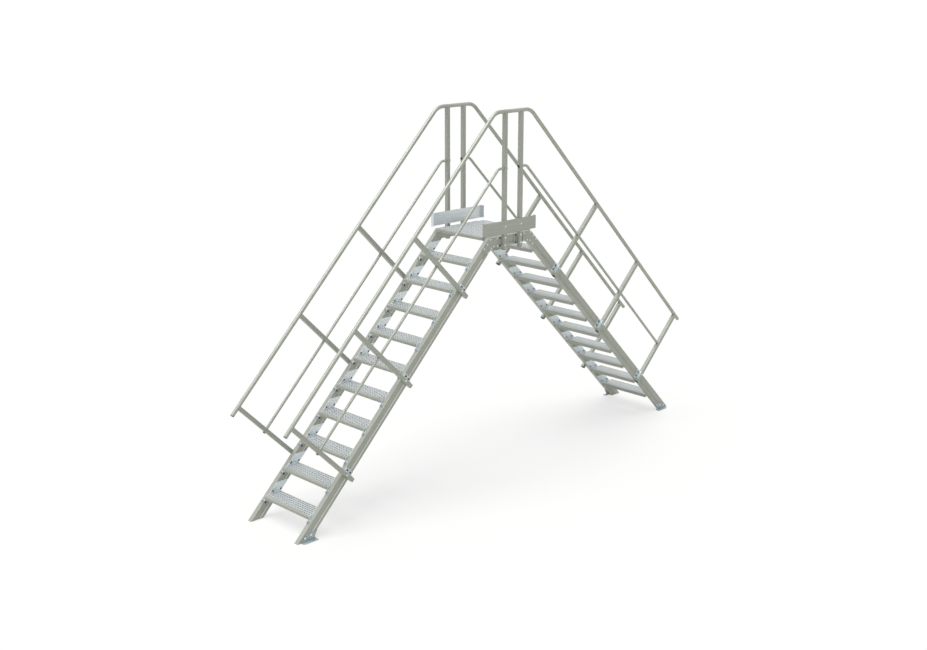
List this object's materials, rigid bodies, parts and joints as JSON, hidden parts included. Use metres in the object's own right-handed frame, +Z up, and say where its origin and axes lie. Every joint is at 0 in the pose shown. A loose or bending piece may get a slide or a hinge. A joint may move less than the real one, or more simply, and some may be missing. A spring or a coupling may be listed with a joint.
{
  "type": "crossover platform",
  "caption": "Free-standing aluminium crossover platform: two open-riser flights at 45 degrees meet at a small guarded deck with handrails, knee rails and toe boards.",
  "frame": {"origin": "on the floor, below the middle of the deck", "axes": "+X along the walking direction, +Y across the flights, +Z up"},
  "size_m": [5.2438, 0.77, 3.3625],
  "materials": {
    "stringers": "mill-finish extruded aluminium, dull satin",
    "treads": "mill-finish aluminium grating, ribbed",
    "posts": "mill-finish square aluminium tube",
    "rails": "mill-finish aluminium tube",
    "toe_boards": "folded aluminium sheet, dull satin",
    "galvanised_fittings": "zinc-plated steel sheet, cool grey",
    "plastic_caps": "black moulded plastic, matt"
  },
  "bodies": {
    "root": {"stringer_left_near": "stringers", "stringer_left_far": "stringers", "stringer_right_near": "stringers", "stringer_right_far": "stringers", "deck_beam_near": "stringers", "deck_beam_far": "stringers", "knee_plates_near": "stringers", "knee_plates_far": "stringers", "tread_left_1": "treads", "tread_left_2": "treads", "tread_left_3": "treads", "tread_left_4": "treads", "tread_left_5": "treads", "tread_left_6": "treads", "tread_left_7": "treads", "tread_left_8": "treads", "tread_left_9": "treads", "tread_left_10": "treads", "tread_right_1": "treads", "tread_right_2": "treads", "tread_right_3": "treads", "tread_right_4": "treads", "tread_right_5": "treads", "tread_right_6": "treads", "tread_right_7": "treads", "tread_right_8": "treads", "tread_right_9": "treads", "tread_right_10": "treads", "deck": "treads", "posts_left_near": "posts", "posts_left_far": "posts", "posts_right_near": "posts", "posts_right_far": "posts", "deck_posts_near": "posts", "deck_posts_far": "posts", "handrail_near": "rails", "handrail_far": "rails", "knee_rails_near": "rails", "knee_rails_far": "rails", "toe_board_near": "toe_boards", "toe_board_far": "toe_boards", "tread_brackets_near": "galvanised_fittings", "tread_brackets_far": "galvanised_fittings", "post_brackets_near": "galvanised_fittings", "post_brackets_far": "galvanised_fittings", "foot_left_near": "galvanised_fittings", "foot_left_far": "galvanised_fittings", "foot_right_near": "galvanised_fittings", "foot_right_far": "galvanised_fittings", "end_caps": "plastic_caps"}
  },
  "joints": []
}
